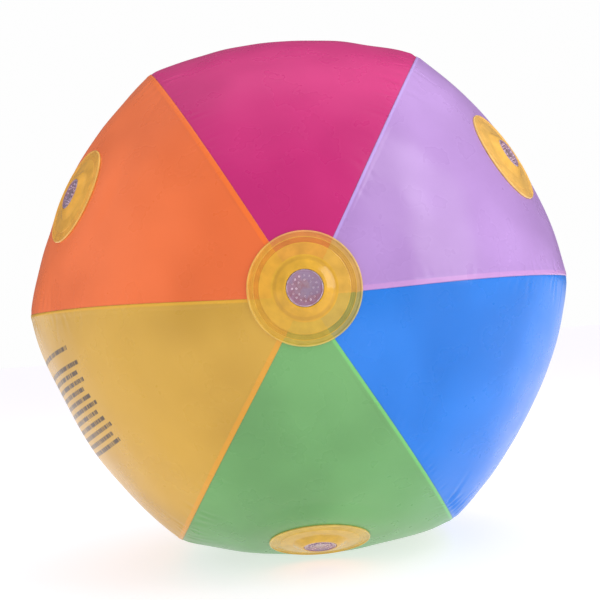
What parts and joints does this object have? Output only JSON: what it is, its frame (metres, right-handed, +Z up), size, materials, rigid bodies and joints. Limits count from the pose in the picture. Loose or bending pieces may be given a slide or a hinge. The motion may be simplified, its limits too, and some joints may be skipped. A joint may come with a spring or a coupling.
{
  "type": "inflatable sprinkler beach ball",
  "caption": "Inflated beach ball of six welded film panels with spray ports, inner water lines, a hose inlet with a swivel nut and a push-in air valve.",
  "frame": {"origin": "middle of the flat patch that the ball rests on", "axes": "+Z up, +Y along the polar axis from the front pole to the hose inlet at the rear pole, +X to the right seen from the front pole"},
  "size_m": [0.61, 0.6038, 0.5775],
  "materials": {
    "film_lavender": "glossy inflated vinyl film",
    "film_magenta": "glossy inflated vinyl film",
    "film_orange": "glossy inflated vinyl film",
    "film_yellow": "glossy inflated vinyl film",
    "film_green": "glossy inflated vinyl film",
    "film_blue": "glossy inflated vinyl film",
    "port_vinyl": "glossy moulded vinyl, slightly see-through",
    "rose_plastic": "see-through moulded plastic",
    "seal_rubber": "matt black rubber",
    "white_plastic": "satin moulded plastic",
    "clear_tube": "soft clear tube",
    "nut_plastic": "satin moulded plastic with grip ribs",
    "screen_steel": "punched sheet",
    "valve_vinyl": "soft clear moulded vinyl"
  },
  "bodies": {
    "root": {"panel_lavender": "film_lavender", "panel_magenta": "film_magenta", "panel_orange": "film_orange", "panel_yellow": "film_yellow", "panel_green": "film_green", "panel_blue": "film_blue", "port_front": "port_vinyl", "port_lavender": "port_vinyl", "port_magenta": "port_vinyl", "port_orange": "port_vinyl", "port_yellow": "port_vinyl", "port_green": "port_vinyl", "port_blue": "port_vinyl", "port_rear": "port_vinyl", "rose_front": "rose_plastic", "rose_lavender": "rose_plastic", "rose_magenta": "rose_plastic", "rose_orange": "rose_plastic", "rose_yellow": "rose_plastic", "rose_green": "rose_plastic", "rose_blue": "rose_plastic", "rose_seals": "seal_rubber", "cup_front": "white_plastic", "cup_lavender": "white_plastic", "cup_magenta": "white_plastic", "cup_orange": "white_plastic", "cup_yellow": "white_plastic", "cup_green": "white_plastic", "cup_blue": "white_plastic", "tube_front": "clear_tube", "tube_lavender": "clear_tube", "tube_magenta": "clear_tube", "tube_orange": "clear_tube", "tube_yellow": "clear_tube", "tube_green": "clear_tube", "tube_blue": "clear_tube", "water_hub": "white_plastic", "tube_inlet": "clear_tube", "inlet_stub": "white_plastic", "inlet_locknut": "white_plastic", "valve_base": "valve_vinyl"},
    "hose_nut": {"hose_nut": "nut_plastic", "inlet_screen": "screen_steel", "hose_washer": "seal_rubber"},
    "valve_stem": {"valve_stem": "valve_vinyl", "valve_tether": "valve_vinyl"},
    "valve_plug": {"valve_plug": "valve_vinyl"},
    "check_flap": {"check_flap": "valve_vinyl"}
  },
  "joints": [
    {"name": "hose_nut_spin", "type": "hinge", "parent": "root", "child": "hose_nut", "pos_m": [0, 0.305, 0.28628], "axis": [0, 1, 0], "continuous": true},
    {"name": "valve_stem_pull", "type": "slide", "parent": "root", "child": "valve_stem", "axis": [-0.4401, 0.8612, -0.2541], "range_m": [0, 0.01]},
    {"name": "valve_plug_pull", "type": "slide", "parent": "valve_stem", "child": "valve_plug", "axis": [-0.4401, 0.8612, -0.2541], "range_m": [0, 0.009]},
    {"name": "check_flap_open", "type": "hinge", "parent": "valve_stem", "child": "check_flap", "pos_m": [-0.12159, 0.22692, 0.21608], "axis": [0.5, 0, -0.866], "range_deg": [0, 50], "stiffness_Nm_per_rad": 0.00005, "springref_deg": -11.46}
  ]
}
